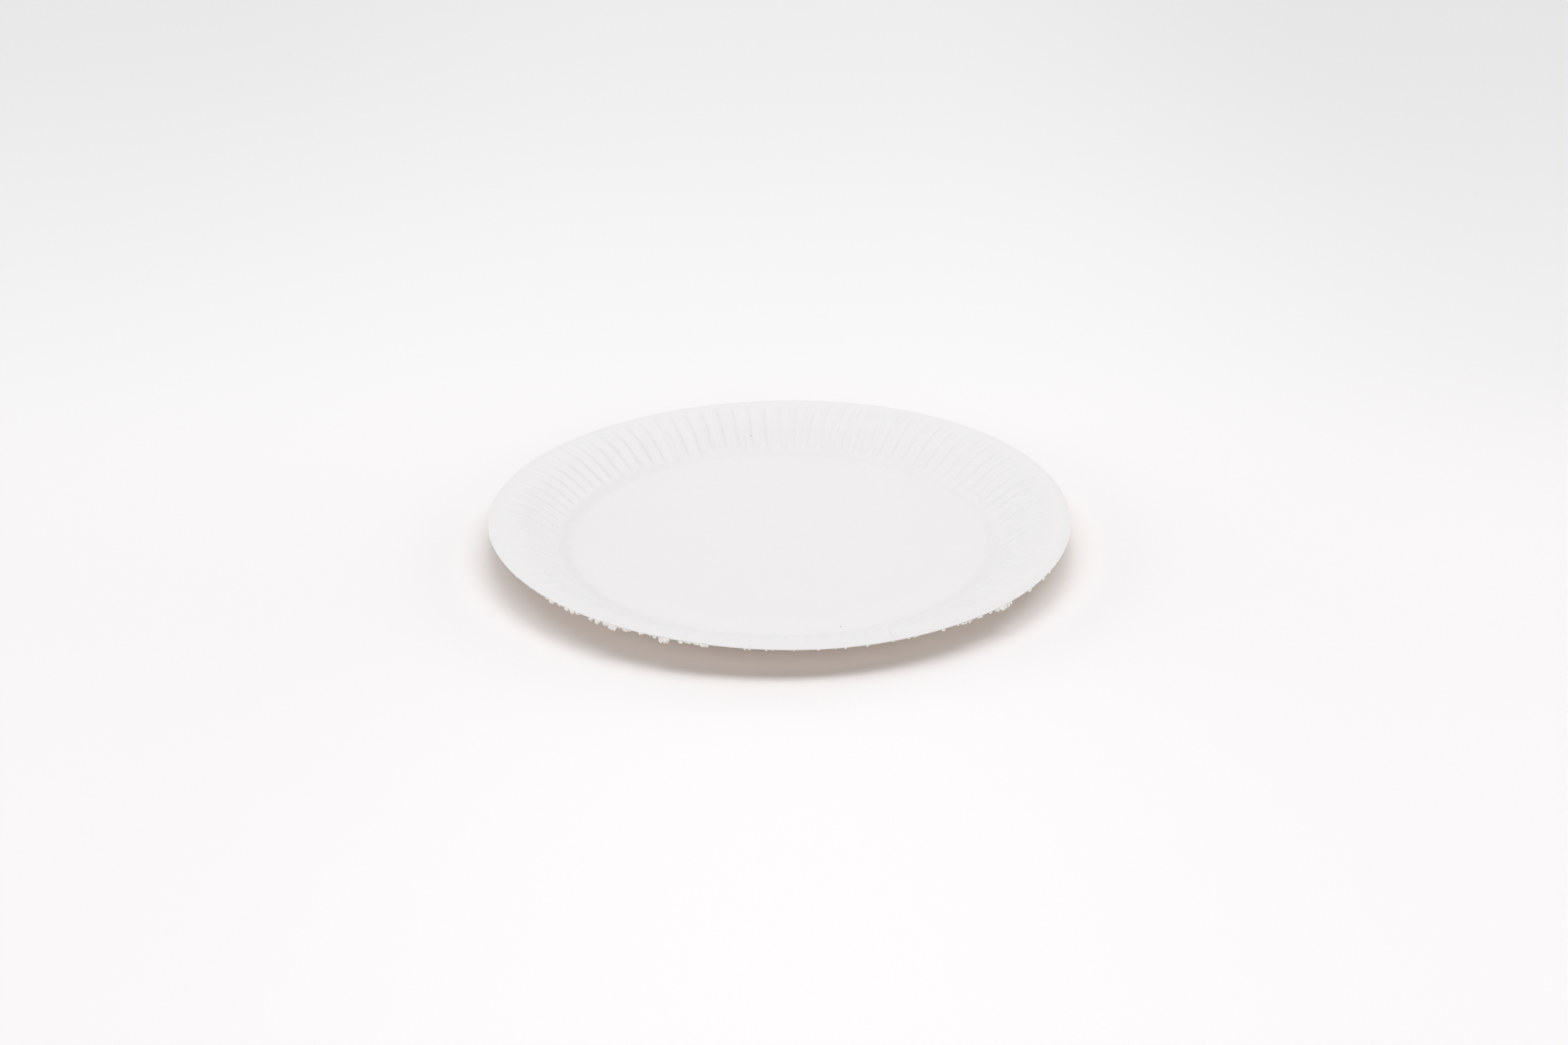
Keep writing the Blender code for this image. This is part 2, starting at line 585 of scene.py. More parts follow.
class Finish:
    """A material and the nodes that are put into it."""

    def __init__(self, name):
        self.material = bpy.data.materials.new(name)
        self.material.use_nodes = True
        self.tree = self.material.node_tree
        self.shader = self.tree.nodes["Principled BSDF"]

    def node(self, kind, settings=None, sockets=None, out=0):
        """Add a node, set it, fill its sockets and return one of its outputs."""
        made = self.tree.nodes.new(kind)
        for name, value in (settings or {}).items():
            setattr(made, name, value)
        for key, value in (sockets or {}).items():
            self.feed(made.inputs[key], value)
        return Wire(self, made.outputs[out])

    def feed(self, socket, value):
        """Link a wire to a socket, or set the socket's own value."""
        if isinstance(value, Wire):
            self.tree.links.new(value.socket, socket)
        else:
            socket.default_value = value

    def place(self):
        """Return the place on the surface, in the object's own metres."""
        return self.node("ShaderNodeTexCoord", out="Object")

    def split(self, place):
        """Return the place's three numbers."""
        parts = self.node("ShaderNodeSeparateXYZ", {}, {0: place}).socket.node
        return [Wire(self, part) for part in parts.outputs]

    def attribute(self, name):
        """Return a number that the mesh keeps at its points."""
        return self.node("ShaderNodeAttribute", {"attribute_name": name}, out="Fac")

    def scaled(self, place, scale):
        """Return the place drawn out or flattened along its axes."""
        return self.node("ShaderNodeMapping", {}, {"Vector": place, "Scale": scale})

    def noise(self, place, size, detail):
        """Return cloudy noise whose clouds are about this many metres across."""
        sockets = {"Vector": place, "Scale": 1 / size, "Detail": detail}
        return self.node("ShaderNodeTexNoise", {}, sockets)

    def ramp(self, value, low, high):
        """Return 0 below the low value and 1 above the high one."""
        sockets = {"Value": value, "From Min": low, "From Max": high}
        return self.node("ShaderNodeMapRange", {"interpolation_type": "SMOOTHSTEP"}, sockets)

    def band(self, value, start, full, fade, end):
        """Return 1 between the full and the fade, and 0 before the start and past the end."""
        return self.ramp(value, start, full) * (1 - self.ramp(value, fade, end))

    def mix(self, share, first, second, blend="MIX"):
        """Return a colour between two colours."""
        settings = {"data_type": "RGBA", "blend_type": blend}
        return self.node("ShaderNodeMix", settings, {0: share, 6: first, 7: second}, out=2)

    def toned(self, colour, tone):
        """Return the colour times a tone."""
        grey = self.node("ShaderNodeCombineColor", {}, {0: tone, 1: tone, 2: tone})
        return self.mix(1.0, colour, grey, "MULTIPLY")

    def bump(self, height, metres, over=None):
        """Return a normal bent by a height that runs from 0 to 1."""
        sockets = {"Strength": 1.0, "Distance": metres, "Height": height}
        if over:
            sockets["Normal"] = over
        return self.node("ShaderNodeBump", {}, sockets)


def deselect_all():
    """Leave the objects' mode and nothing selected."""
    if bpy.context.object and bpy.context.object.mode != "OBJECT":
        bpy.ops.object.mode_set(mode="OBJECT")
    bpy.ops.object.select_all(action="DESELECT")


def get_points(mesh):
    """Return the mesh's points as rows of x, y and z."""
    flat = np.zeros(len(mesh.vertices) * 3)
    mesh.vertices.foreach_get("co", flat)
    return flat.reshape(-1, 3)


def set_points(mesh, points):
    """Move the mesh's points."""
    mesh.vertices.foreach_set("co", points.ravel())
    mesh.update()


def eased(shares):
    """Return the shares held between 0 and 1, leaving both gently."""
    held = np.clip(shares, 0, 1)
    return held**2 * (3 - 2 * held)


def apart(turns, other):
    """Return how far round the turns lie from another, the short way."""
    return (turns - other + math.pi) % math.tau - math.pi


def section_bends(sizes):
    """Return the foot bend, the shoulder bend and the angle of the wall that touches both."""
    run = sizes.plate_radius - sizes.level_rim - sizes.flat_radius
    rise = sizes.rim_height - sizes.thickness
    both = sizes.foot_bend + sizes.shoulder_bend
    fit = min(1, (run**2 + rise**2) / (2 * rise) / both)
    drop = fit * both - rise
    tilt = math.asin(min(1, fit * both / math.hypot(run, drop)))
    return fit * sizes.foot_bend, fit * sizes.shoulder_bend, tilt - math.atan2(drop, run)


def plain_section(sizes, radii):
    """Return the heights and slopes of the unfluted upper face at these radii."""
    foot, shoulder, wall = section_bends(sizes)
    past_flat = np.maximum(radii - sizes.flat_radius, 0)
    before_rim = np.maximum(sizes.plate_radius - sizes.level_rim - radii, 0)
    foot_slope = np.arcsin(np.minimum(past_flat / foot, math.sin(wall)))
    shoulder_slope = np.arcsin(np.minimum(before_rim / shoulder, math.sin(wall)))
    on_wall = np.maximum(past_flat - foot * math.sin(wall), 0) * math.tan(wall)
    from_foot = sizes.thickness + foot * (1 - np.cos(foot_slope)) + on_wall
    from_rim = sizes.rim_height - shoulder * (1 - np.cos(shoulder_slope))
    on_shoulder = before_rim <= shoulder * math.sin(wall)
    slopes = np.where(on_shoulder, shoulder_slope, foot_slope)
    from_edge = sizes.plate_radius - radii
    rounded = np.clip(1 - from_edge / (sizes.thickness / 2), 0, 1)
    rolled = np.clip(1 - from_edge / sizes.roll_width, 0, 1)
    drop = sizes.thickness * EDGE_ROUNDING * rounded**2 + sizes.roll_drop * rolled**2
    return np.where(on_shoulder, from_rim, from_foot) - drop, slopes


def row_radii(sizes):
    """Return the radius of each row of points, from the flat to the cut edge."""
    shares = [0.0]
    for end, rows in ROW_STRETCHES:
        start = shares[-1]
        shares += [start + (end - start) * (row + 1) / rows for row in range(rows)]
    return sizes.flat_radius + (sizes.plate_radius - sizes.flat_radius) * np.array(shares)


def spin_dish(sizes, radii):
    """Draw the section as a line, spin it into a dish and close its flat bottom."""
    heights, _ = plain_section(sizes, radii)
    touching = sizes.thickness / 100
    deselect_all()
    bpy.ops.mesh.primitive_plane_add(size=sizes.thickness)
    dish = bpy.context.object
    dish.name = dish.data.name = "pressed_board"
    bpy.ops.object.mode_set(mode="EDIT")
    bpy.ops.mesh.merge(type="CENTER")
    bpy.ops.transform.translate(value=(radii[0], 0, heights[0]))
    for step_out, step_up in zip(np.diff(radii), np.diff(heights)):
        step = {"value": (step_out, 0, step_up)}
        bpy.ops.mesh.extrude_region_move(TRANSFORM_OT_translate=step)
    bpy.ops.mesh.select_all(action="SELECT")
    steps = sizes.flute_count * len(COLUMN_SHARES)
    bpy.ops.mesh.spin(steps=steps, angle=math.tau, center=(0, 0, 0), axis=(0, 0, 1))
    bpy.ops.mesh.select_all(action="SELECT")
    bpy.ops.mesh.remove_doubles(threshold=touching)
    bpy.ops.mesh.select_all(action="DESELECT")
    bpy.ops.object.mode_set(mode="OBJECT")
    points = get_points(dish.data)
    inner = np.hypot(points[:, 0], points[:, 1]) < radii[0] + touching
    dish.data.vertices.foreach_set("select", inner)
    bpy.ops.object.mode_set(mode="EDIT")
    bpy.ops.mesh.select_mode(type="VERT")
    bpy.ops.mesh.edge_face_add()
    bpy.ops.mesh.select_all(action="SELECT")
    bpy.ops.mesh.normals_make_consistent(inside=False)
    bpy.ops.object.mode_set(mode="OBJECT")
    widest = max(dish.data.polygons, key=lambda face: face.area)
    if widest.normal.z < 0:
        dish.data.flip_normals()
    return dish


def column_turns(sizes, uneven):
    """Return how far round each column stands, and where each groove lies."""
    pitch = math.tau / sizes.flute_count
    wander = GROOVE_WANDER * uneven.uniform(-1, 1, sizes.flute_count)
    grooves = sizes.first_groove + pitch * np.arange(sizes.flute_count) + wander
    ends = np.append(grooves[1:], grooves[0] + math.tau)
    shares = np.array(COLUMN_SHARES)
    turns = grooves[:, None] + (ends - grooves)[:, None] * shares[None, :]
    return turns.ravel(), grooves


def crease_paths(sizes, radii):
    """Give each crease's turn, nearness and depth share at every row of points."""
    for first, last, bow, outer_share, inner_share, outer_depth, inner_depth in CREASES:
        length = (outer_share - inner_share) * sizes.plate_radius
        along = (outer_share * sizes.plate_radius - radii) / length
        inside = np.clip(along, 0, 1)
        turn = np.radians(first + (last - first) * inside + bow * 4 * inside * (1 - inside))
        beyond = np.maximum(np.maximum(-along, along - 1), 0) * length
        nearness = np.clip(1 - beyond / CREASE_RUN_OUT, 0, 1)
        taper = np.clip(np.minimum(inside, 1 - inside) * length / CREASE_TAPER, 0, 1)
        depth = outer_depth + (inner_depth - outer_depth) * inside
        yield turn, nearness, depth * taper**TAPER_POWER


def draw_to_creases(sizes, radii, turns):
    """Draw columns of points together along each crease, and return each point's depth share."""
    columns = turns.shape[1]
    depths = np.zeros_like(turns)
    pitch = math.tau / sizes.flute_count
    side = CREASE_COLUMNS
    for path, nearness, depth in crease_paths(sizes, radii):
        deep = int(np.argmax(depth > 0.9 * depth.max()))
        nearest = int(np.argmin(np.abs(apart(turns[deep], path[deep]))))
        around = (nearest + np.arange(-side, side + 1)) % columns
        for row in np.flatnonzero(nearness):
            here = turns[row, around]
            rest = here[side] + apart(here, here[side])
            target = rest[side] + apart(path[row], rest[side])
            half = sizes.crease_width / 2 / radii[row]
            kept = [rest[0], *rest[side - 1 : side + 2], rest[-1]]
            goal = [rest[0], target - half, target, target + half, rest[-1]]
            if abs(target - rest[side]) < pitch:
                drawn = np.interp(rest, kept, goal)
                turns[row, around] = rest + (drawn - rest) * nearness[row]
                depths[row, nearest] = max(depths[row, nearest], depth[row])
    return depths


def flute_lift(sizes, radii, turns, grooves, uneven):
    """Return how far the press lifts the board at each point."""
    count = sizes.flute_count
    heights = 1 + HEIGHT_VARIES * uneven.uniform(-1, 1, count)
    feet = FOOT_MOVES * uneven.uniform(-1, 1, count)
    ends = END_MOVES * uneven.uniform(-1, 1, count)
    rows = radii[:, None]
    round_again = (turns - grooves[0]) % math.tau
    starts = grooves - grooves[0]
    flute = np.clip(np.searchsorted(starts, round_again, side="right") - 1, 0, count - 1)
    widths = np.diff(np.append(starts, math.tau))
    across = (round_again - starts[flute]) / widths[flute]
    rounding = 1 - np.sqrt(np.maximum(1 - np.abs(2 * across - 1) ** ROUNDING_POWER, 0))
    foot = sizes.flat_radius + sizes.flute_foot_gap + feet[flute] + FOOT_ROUNDING * rounding
    end = sizes.plate_radius - sizes.flute_rim_gap + ends[flute] - RIM_ROUNDING * rounding
    falling = np.clip((end - rows) / RIM_FALL, 0, 1)
    fade = eased((rows - foot) / FOOT_RISE) * falling * (2 - falling)
    along = np.clip((rows - foot) / (end - foot), 0, 1)
    bead = BEAD_SHARE * np.exp(-(((rows - foot - BEAD_PLACE) / BEAD_WIDTH) ** 2))
    swell = LEVEL_SHARE + SWELL_SHARE * np.sin(math.pi * along**SWELL_POWER) + bead
    pressed = eased((across - CLIMB_START) / FLANK_SHARE)
    pressed = pressed * eased((FALL_END - across) / FLANK_SHARE)
    lower = 1 - FRONT_LOWER * np.maximum(-np.sin(turns), 0) ** FRONT_POWER
    return sizes.flute_height * heights[flute] * lower * swell * pressed * fade


def press(sizes, dish, radii):
    """Press the flutes, the spring and the courses of the creases into the dish."""
    uneven = np.random.default_rng(PRESS_SEED)
    points = get_points(dish.data)
    plain_turns, grooves = column_turns(sizes, uneven)
    columns = len(plain_turns)
    reach = np.hypot(points[:, 0], points[:, 1])
    row = np.abs(reach[:, None] - radii[None, :]).argmin(1)
    column = np.rint(np.arctan2(points[:, 1], points[:, 0]) * columns / math.tau).astype(int)
    column %= columns
    turns = np.repeat(plain_turns[None, :], len(radii), axis=0)
    depths = draw_to_creases(sizes, radii, turns)
    lifts = flute_lift(sizes, radii, turns, grooves, uneven)
    for path, nearness, depth in crease_paths(sizes, radii):
        aside = apart(turns, path[:, None]) * radii[:, None]
        closeness = np.exp(-((aside / CREASE_SIDE) ** 2)) * nearness[:, None]
        lifts = lifts * (1 - CREASE_FLATTENS * closeness * depth.max())
    heights, slopes = plain_section(sizes, radii)
    wall = (radii - sizes.flat_radius) / (sizes.plate_radius - sizes.flat_radius)
    spring = sizes.rim_spring * np.cos(2 * (turns - sizes.spring_heading))
    for waves in RIM_WAVES:
        swing, start = uneven.uniform(*WAVE_HEIGHTS), uneven.uniform(0, math.tau)
        spring = spring + swing * np.sin(waves * turns + start)
    reaches = radii[:, None] - lifts * np.sin(slopes)[:, None]
    raised = heights[:, None] + lifts * np.cos(slopes)[:, None] + spring * wall[:, None] ** 2
    pressed = np.stack([reaches * np.cos(turns), reaches * np.sin(turns), raised], axis=-1)
    set_points(dish.data, pressed[row, column])
    depth = dish.data.attributes.new("crease", "FLOAT", "POINT")
    depth.data.foreach_set("value", depths[row, column])
    return slopes[row]


def thicken(sizes, dish, slopes):
    """Give the dish the board's thickness, then sink the creases into the upper face."""
    upper = len(dish.data.vertices)
    deselect_all()
    dish.select_set(True)
    bpy.context.view_layer.objects.active = dish
    wall = dish.modifiers.new("board", "SOLIDIFY")
    wall.thickness = sizes.thickness
    wall.offset = -1
    bpy.ops.object.modifier_apply(modifier=wall.name)
    points = get_points(dish.data)
    depths = np.zeros(len(points))
    dish.data.attributes["crease"].data.foreach_get("value", depths)
    sink = depths[:upper] * sizes.crease_depth
    turns = np.arctan2(points[:upper, 1], points[:upper, 0])
    points[:upper, 0] += sink * np.sin(slopes) * np.cos(turns)
    points[:upper, 1] += sink * np.sin(slopes) * np.sin(turns)
    points[:upper, 2] -= sink * np.cos(slopes)
    points[upper:, 2] = np.where(points[upper:, 2] < sizes.thickness / 20, 0, points[upper:, 2])
    set_points(dish.data, points)
    back = dish.data.attributes.new("underside", "FLOAT", "POINT")
    back.data.foreach_set("value", (np.arange(len(points)) >= upper).astype(float))
    depths[upper:] = 0
    dish.data.attributes["crease"].data.foreach_set("value", depths)
    bpy.ops.object.shade_smooth_by_angle(angle=SMOOTH_BEND)


def crumpled_and_shaded_bend(finish, place, outwards, east, wrinkles):
    """Return where the foot bend is crumpled, and how much darker it is painted: painted shade in
    the bend, strongest on the left side, and the crumpled coating's wrinkles and flecks, painted
    darker on that side too.
    """
    # Painted shade by side: the bend and its marks are darkest on the left, less on the right and
    # least at the front and back.
    beside = (east * east * 0.45 + 0.55) * (1 - east.at_least(0) * 0.35)
    ragged = outwards + (wrinkles - 0.5) * BEND_RAGGED
    ends = 1 - finish.ramp(ragged, *BEND_ENDS)
    in_bend = finish.ramp(outwards, *BEND_STARTS) * beside * ends
    on_wall = finish.ramp(outwards, *WRINKLED_WALL) * beside
    crumpled = finish.ramp(wrinkles, 0.50, 0.72) * (in_bend + on_wall * WALL_WRINKLES)
    flecks = finish.ramp(finish.noise(place, FLECKS, 2.0), 0.58, 0.78)
    flecks = flecks * (in_bend + on_wall * WALL_FLECKS)
    marks_and_painted_shade = crumpled * WRINKLES_DARKER + flecks * FLECKS_DARKER + in_bend * BEND_PAINTED_SHADE
    return in_bend, marks_and_painted_shade


def painted_light_bands(finish, outwards, east, north, mottle):
    """Return the painted light and shade of the coated face's bands by side: the wall and rim
    lighter behind, the wall lighter on the right, the outer rim darker at the front, the flat near
    the foot lighter at the front, and a mottled darker band on the front crest.
    """
    front = 0.5 - north * 0.5
    # Painted light and shade by side: the wall is lighter behind and on the right and darker on
    # the left, the rim lighter behind and darker at the front.
    behind = north.at_least(0) * WALL_PAINTED_LIGHT_BEHIND
    painted_light = finish.band(outwards, *WALL) * (behind + east * WALL_PAINTED_LIGHT_RIGHT)
    painted_light = painted_light + finish.ramp(outwards, *RIM) * (north * RIM_PAINTED_LIGHT_BEHIND + RIM_PAINTED_LIGHT)
    # Painted shade: the outer rim is painted darker towards the front, most on the right.
    outer_rim = finish.ramp(outwards, *OUTER_RIM) * front
    painted_light = painted_light - outer_rim * (east * OUTER_RIM_PAINTED_SHADE_RIGHT + OUTER_RIM_PAINTED_SHADE)
    # Painted light: the flat near the foot is painted lighter towards the front.
    painted_light = painted_light + finish.band(outwards, *NEAR_FOOT) * front * NEAR_FOOT_PAINTED_LIGHT
    # Painted shade: a broken, mottled dark band along the crest at the front.
    broken_shade = finish.ramp(front, 0.75, 0.95) * finish.ramp(mottle, 0.35, 0.6)
    return painted_light - finish.band(outwards, *CREST) * broken_shade * CREST_PAINTED_SHADE


def with_specks(finish, sizes, level_place, tooth, colour):
    """Return the colour with the dark specks in it."""
    for heading, share, width, darkness in SPECKS:
        turn = math.radians(heading)
        radius = share * sizes.plate_radius
        sockets = {0: level_place, 1: (radius * math.cos(turn), radius * math.sin(turn), 0)}
        away = finish.node(
            "ShaderNodeVectorMath", {"operation": "DISTANCE"}, sockets, out="Value"
        )
        ragged = away + (tooth - 0.5) * (width * 0.5)
        dot = 1 - finish.ramp(ragged, width * 0.35, width * 0.6)
        colour = finish.mix(dot * darkness, colour, SPECK_COLOUR)
    return colour


def board_finish(sizes):
    """Return the coated white board, with its plain underside and raw cut edge."""
    finish = Finish("plate_board")
    place = finish.place()
    level_place = finish.scaled(place, (1, 1, 0))
    settings = {"operation": "LENGTH"}
    reach = finish.node("ShaderNodeVectorMath", settings, {0: level_place}, out="Value")
    across, away, _ = finish.split(place)
    east = across / reach
    north = away / reach
    outwards = reach - sizes.flat_radius
    clouds = finish.noise(place, CLOUDS, 3.0)
    mottle = finish.noise(place, MOTTLE, 4.0)
    wrinkles = finish.noise(place, WRINKLES, 4.0)
    tooth = finish.noise(place, TOOTH, 3.0)
    strands = finish.noise(finish.scaled(place, STRAND_STRETCH), STRANDS, 2.0)
    underside = finish.attribute("underside")
    crease = finish.attribute("crease")
    in_bend, marks_and_painted_shade = crumpled_and_shaded_bend(finish, place, outwards, east, wrinkles)
    tone = 0.984 + clouds * 0.012 + mottle * 0.010 + strands * 0.008
    # The tone takes the painted shade of the foot bend and the painted light and shade of the
    # bands.
    tone = tone - marks_and_painted_shade + painted_light_bands(finish, outwards, east, north, mottle)
    face = finish.toned(sizes.face_colour, tone)
    back = finish.toned(sizes.back_colour, 0.90 + mottle * 0.10 + strands * 0.10)
    colour = finish.mix(finish.ramp(underside, 0.92, 1.0), face, back)
    # The raw cut edge, in a colour lighter than the coated face: partly its own colour, partly
    # painted light.
    colour = finish.mix(finish.band(underside, 0.02, 0.15, 0.85, 0.98), colour, EDGE_PAINTED_LIGHT_COLOUR)
    # Painted shade in the creases.
    colour = finish.mix(finish.ramp(crease, 0.05, 1.0) * CREASE_SHADE_STRENGTH, colour, CREASE_SHADE_COLOUR)
    colour = with_specks(finish, sizes, level_place, tooth, colour)
    finish.feed(finish.shader.inputs["Base Color"], colour)
    roughness = 0.50 + mottle * 0.08 + finish.ramp(underside, 0.0, 0.3) * 0.3
    finish.feed(finish.shader.inputs["Roughness"], roughness)
    finish.shader.inputs["Specular IOR Level"].default_value = 0.35
    waves = finish.bump(clouds, 0.00003)
    lumps = finish.bump(mottle, 0.000008, waves)
    grain = finish.bump(tooth + strands * 0.6, 0.000006, lumps)
    folds = finish.bump(wrinkles * in_bend, 0.00005, grain)
    finish.feed(finish.shader.inputs["Normal"], folds)
    return finish.material


def fibre_finish(sizes):
    """Return the torn fibres of the cut edge."""
    finish = Finish("plate_fibres")
    place = finish.place()
    lumps = finish.noise(place, 0.0004, 3.0)
    colour = finish.toned(sizes.fibre_colour, 0.86 + lumps * 0.22)
    finish.feed(finish.shader.inputs["Base Color"], colour)
    finish.shader.inputs["Roughness"].default_value = 0.9
    finish.shader.inputs["Specular IOR Level"].default_value = 0.2
    finish.feed(finish.shader.inputs["Normal"], finish.bump(lumps, 0.00004))
    return finish.material


class MESH_OT_pressed_board_add(bpy.types.Operator):
    """Add the pressed board: flat bottom, fluted wall and level rim in one piece"""

    bl_idname = "mesh.pressed_board_add"
    bl_label = "Add Pressed Board"
    bl_options = {"REGISTER", "UNDO"}

    def execute(self, context):
        sizes = context.scene.plate_board
        radii = row_radii(sizes)
        board = spin_dish(sizes, radii)
        slopes = press(sizes, board, radii)
        thicken(sizes, board, slopes)
        board.data.materials.clear()
        board.data.materials.append(board_finish(sizes))
        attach(board, "root")
        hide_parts("plate")
        return {"FINISHED"}


def model_fibre(sizes):
    """Model one bundle of fibres: a thin bent strand that hangs down from the origin."""
    width = sizes.fibre_width
    deselect_all()
    bpy.ops.mesh.primitive_cylinder_add(
        vertices=FIBRE_SIDES, radius=width / 2, depth=width, end_fill_type="NGON"
    )
    fibre = bpy.context.object
    bpy.ops.object.mode_set(mode="EDIT")
    bpy.ops.mesh.select_all(action="DESELECT")
    bpy.ops.object.mode_set(mode="OBJECT")
    for face in fibre.data.polygons:
        face.select = face.normal.z < -0.9
    bpy.ops.object.mode_set(mode="EDIT")
    bpy.ops.mesh.select_mode(type="FACE")
    for aside, down, thin in FIBRE_STEPS:
        step = {"value": (aside * width, 0, -down * width)}
        bpy.ops.mesh.extrude_region_move(TRANSFORM_OT_translate=step)
        bpy.ops.transform.resize(value=(thin, thin, 1))
    bpy.ops.object.mode_set(mode="OBJECT")
    return fibre


def model_scrap(sizes):
    """Model one torn scrap: a thin ragged flap that hangs down from the origin."""
    width = sizes.scrap_width
    deselect_all()
    across, along = SCRAP_ROWS
    bpy.ops.mesh.primitive_grid_add(x_subdivisions=across, y_subdivisions=along, size=width)
    scrap = bpy.context.object
    bpy.ops.object.mode_set(mode="EDIT")
    bpy.ops.transform.translate(value=(0, -width / 2, 0))
    bpy.ops.transform.rotate(value=math.radians(90), orient_axis="X", center_override=(0, 0, 0))
    bpy.ops.object.mode_set(mode="OBJECT")
    points = get_points(scrap.data)
    if points[:, 2].mean() > 0:
        points[:, 2] *= -1
    down = -points[:, 2] / width
    torn = np.random.default_rng(SCRAP_SEED)
    points[:, 0] *= 1 - SCRAP_NARROWS * down
    points += width * SCRAP_RAGGED * torn.uniform(-1, 1, points.shape) * down[:, None]
    points[:, 1] += width * SCRAP_CURL * down**2
    set_points(scrap.data, points)
    flap = scrap.modifiers.new("flap", "SOLIDIFY")
    flap.thickness = width * SCRAP_THICKNESS
    bpy.ops.object.modifier_apply(modifier=flap.name)
    return scrap


def fuzz(sizes, loose):
    """Return the very short tufts between the others, written as they are."""
    bits = []
    for _ in range(sizes.fuzz_count):
        bits.append((loose.uniform(*FUZZ_HEADINGS), FUZZ_SPREAD, loose.uniform(*FUZZ_HANG), 1))
    return bits


def hang(board, copy, turn, lengths, flap, loose):
    """Hang one fibre or scrap on the cut edge at this turn, outwards and a little askew."""
    spring = board.rim_spring * math.cos(2 * (turn - board.spring_heading))
    height = board.rim_height - board.roll_drop + spring
    height -= board.thickness * loose.uniform(*LEAVES_BELOW)
    reach = board.plate_radius - LEAVES_INSIDE
    length = lengths[0] * loose.uniform(*HANG_SHARES) / lengths[1]
    place = Matrix.Translation((reach * math.cos(turn), reach * math.sin(turn), height))
    face = Matrix.Rotation(turn + math.pi / 2, 4, "Z")
    outward = Matrix.Rotation(-math.radians(loose.uniform(*STAND_OUT)), 4, "X")
    lean = SCRAP_LEAN if flap else FIBRE_LEAN
    aside = Matrix.Rotation(math.radians(lean * loose.uniform(-1, 1)), 4, "Y")
    twist = Matrix.Rotation(loose.uniform(0, math.tau) * (not flap), 4, "Z")
    wider = SCRAP_WIDER * lengths[0] / SCRAP_REACH if flap else FIBRE_WIDER
    wide = LEAST_WIDE + wider * loose.uniform()
    scale = Matrix.Diagonal((wide, wide, length, 1))
    copy.matrix_world = place @ face @ outward @ aside @ twist @ scale


def hang_tufts(board, sizes, fibre, scrap):
    """Copy the fibre and the scrap to every tuft on the cut edge, and return the copies."""
    loose = np.random.default_rng(TUFT_SEED)
    strand = sum(down for _, down, _ in FIBRE_STEPS) * sizes.fibre_width
    copies = []
    for heading, spread, reach, fibres in (*TUFTS, *fuzz(sizes, loose)):
        scraps = (fibres + 1) // 2
        for number in range(fibres + scraps):
            turn = math.radians(heading + spread * loose.uniform(-0.5, 0.5))
            flap = number >= fibres
            source = scrap if flap else fibre
            copy = source.copy()
            copy.data = source.data.copy()
            bpy.context.scene.collection.objects.link(copy)
            lengths = (reach, sizes.scrap_width if flap else strand)
            hang(board, copy, turn, lengths, flap, loose)
            copies.append(copy)
    return copies


class MESH_OT_edge_fibres_add(bpy.types.Operator):
    """Add the torn fibres and scraps that hang from the cut edge"""

    bl_idname = "mesh.edge_fibres_add"
    bl_label = "Add Edge Fibres"
    bl_options = {"REGISTER", "UNDO"}

    def execute(self, context):
        sizes = context.scene.plate_fibres
        fibre = model_fibre(sizes)
        scrap = model_scrap(sizes)
        copies = hang_tufts(context.scene.plate_board, sizes, fibre, scrap)
        for pattern in (fibre, scrap):
            bpy.data.objects.remove(pattern)
        deselect_all()
        for copy in copies:
            copy.select_set(True)
        context.view_layer.objects.active = copies[0]
        bpy.ops.object.join()
        tufts = context.object
        tufts.name = tufts.data.name = "edge_fibres"
        bpy.ops.object.transform_apply(location=True, rotation=True, scale=True)
        bpy.ops.object.shade_smooth()
        tufts.data.materials.clear()
        tufts.data.materials.append(fibre_finish(sizes))
        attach(tufts, "root")
        return {"FINISHED"}


def floor_finish(sizes):
    """Return the pale floor's finish, painted a little lighter or darker from place to place as
    painted light and shade.
    """
    finish = Finish("pale_floor")
    across, away, _ = finish.split(finish.place())
    sideways = across.at_least(0 - across)
    # Painted light behind the plate, and painted shade beside it and on both sides behind it, most
    # on the right.
    behind = finish.ramp(away, *BEHIND_PLATE)
    beside = finish.ramp(sideways, *BESIDE_PLATE) * (1 - finish.ramp(away, *BESIDE_ENDS))
    tone = 1 + behind * BEHIND_PAINTED_LIGHT - beside * BESIDE_PAINTED_SHADE
    tone = tone - finish.ramp(across, *RIGHT_BEHIND) * behind * RIGHT_BEHIND_PAINTED_SHADE
    tone = tone - finish.ramp(sideways, *SIDES_BEHIND) * behind * SIDES_BEHIND_PAINTED_SHADE
    # Painted shade: the floor turns greyer away from the viewer.
    shaded_away = finish.ramp(away, *FLOOR_SHADED_AWAY)
    colour = finish.mix(shaded_away, sizes.near_colour, sizes.far_shaded_colour)
    finish.feed(finish.shader.inputs["Base Color"], finish.toned(colour, tone))
    finish.shader.inputs["Roughness"].default_value = 1.0
    finish.shader.inputs["Specular IOR Level"].default_value = 0.0
    return finish.material


def add_floor(sizes):
    """Lay the pale floor, which is painted greyer far behind the plate as painted shade."""
    deselect_all()
    bpy.ops.mesh.primitive_plane_add(size=FLOOR_WIDTH)
    floor = bpy.context.object
    floor.name = floor.data.name = "floor"
    bpy.ops.object.mode_set(mode="EDIT")
    bpy.ops.transform.translate(value=(0, 0, -FLOOR_DROP))
    bpy.ops.object.mode_set(mode="OBJECT")
    floor.data.materials.append(floor_finish(sizes))


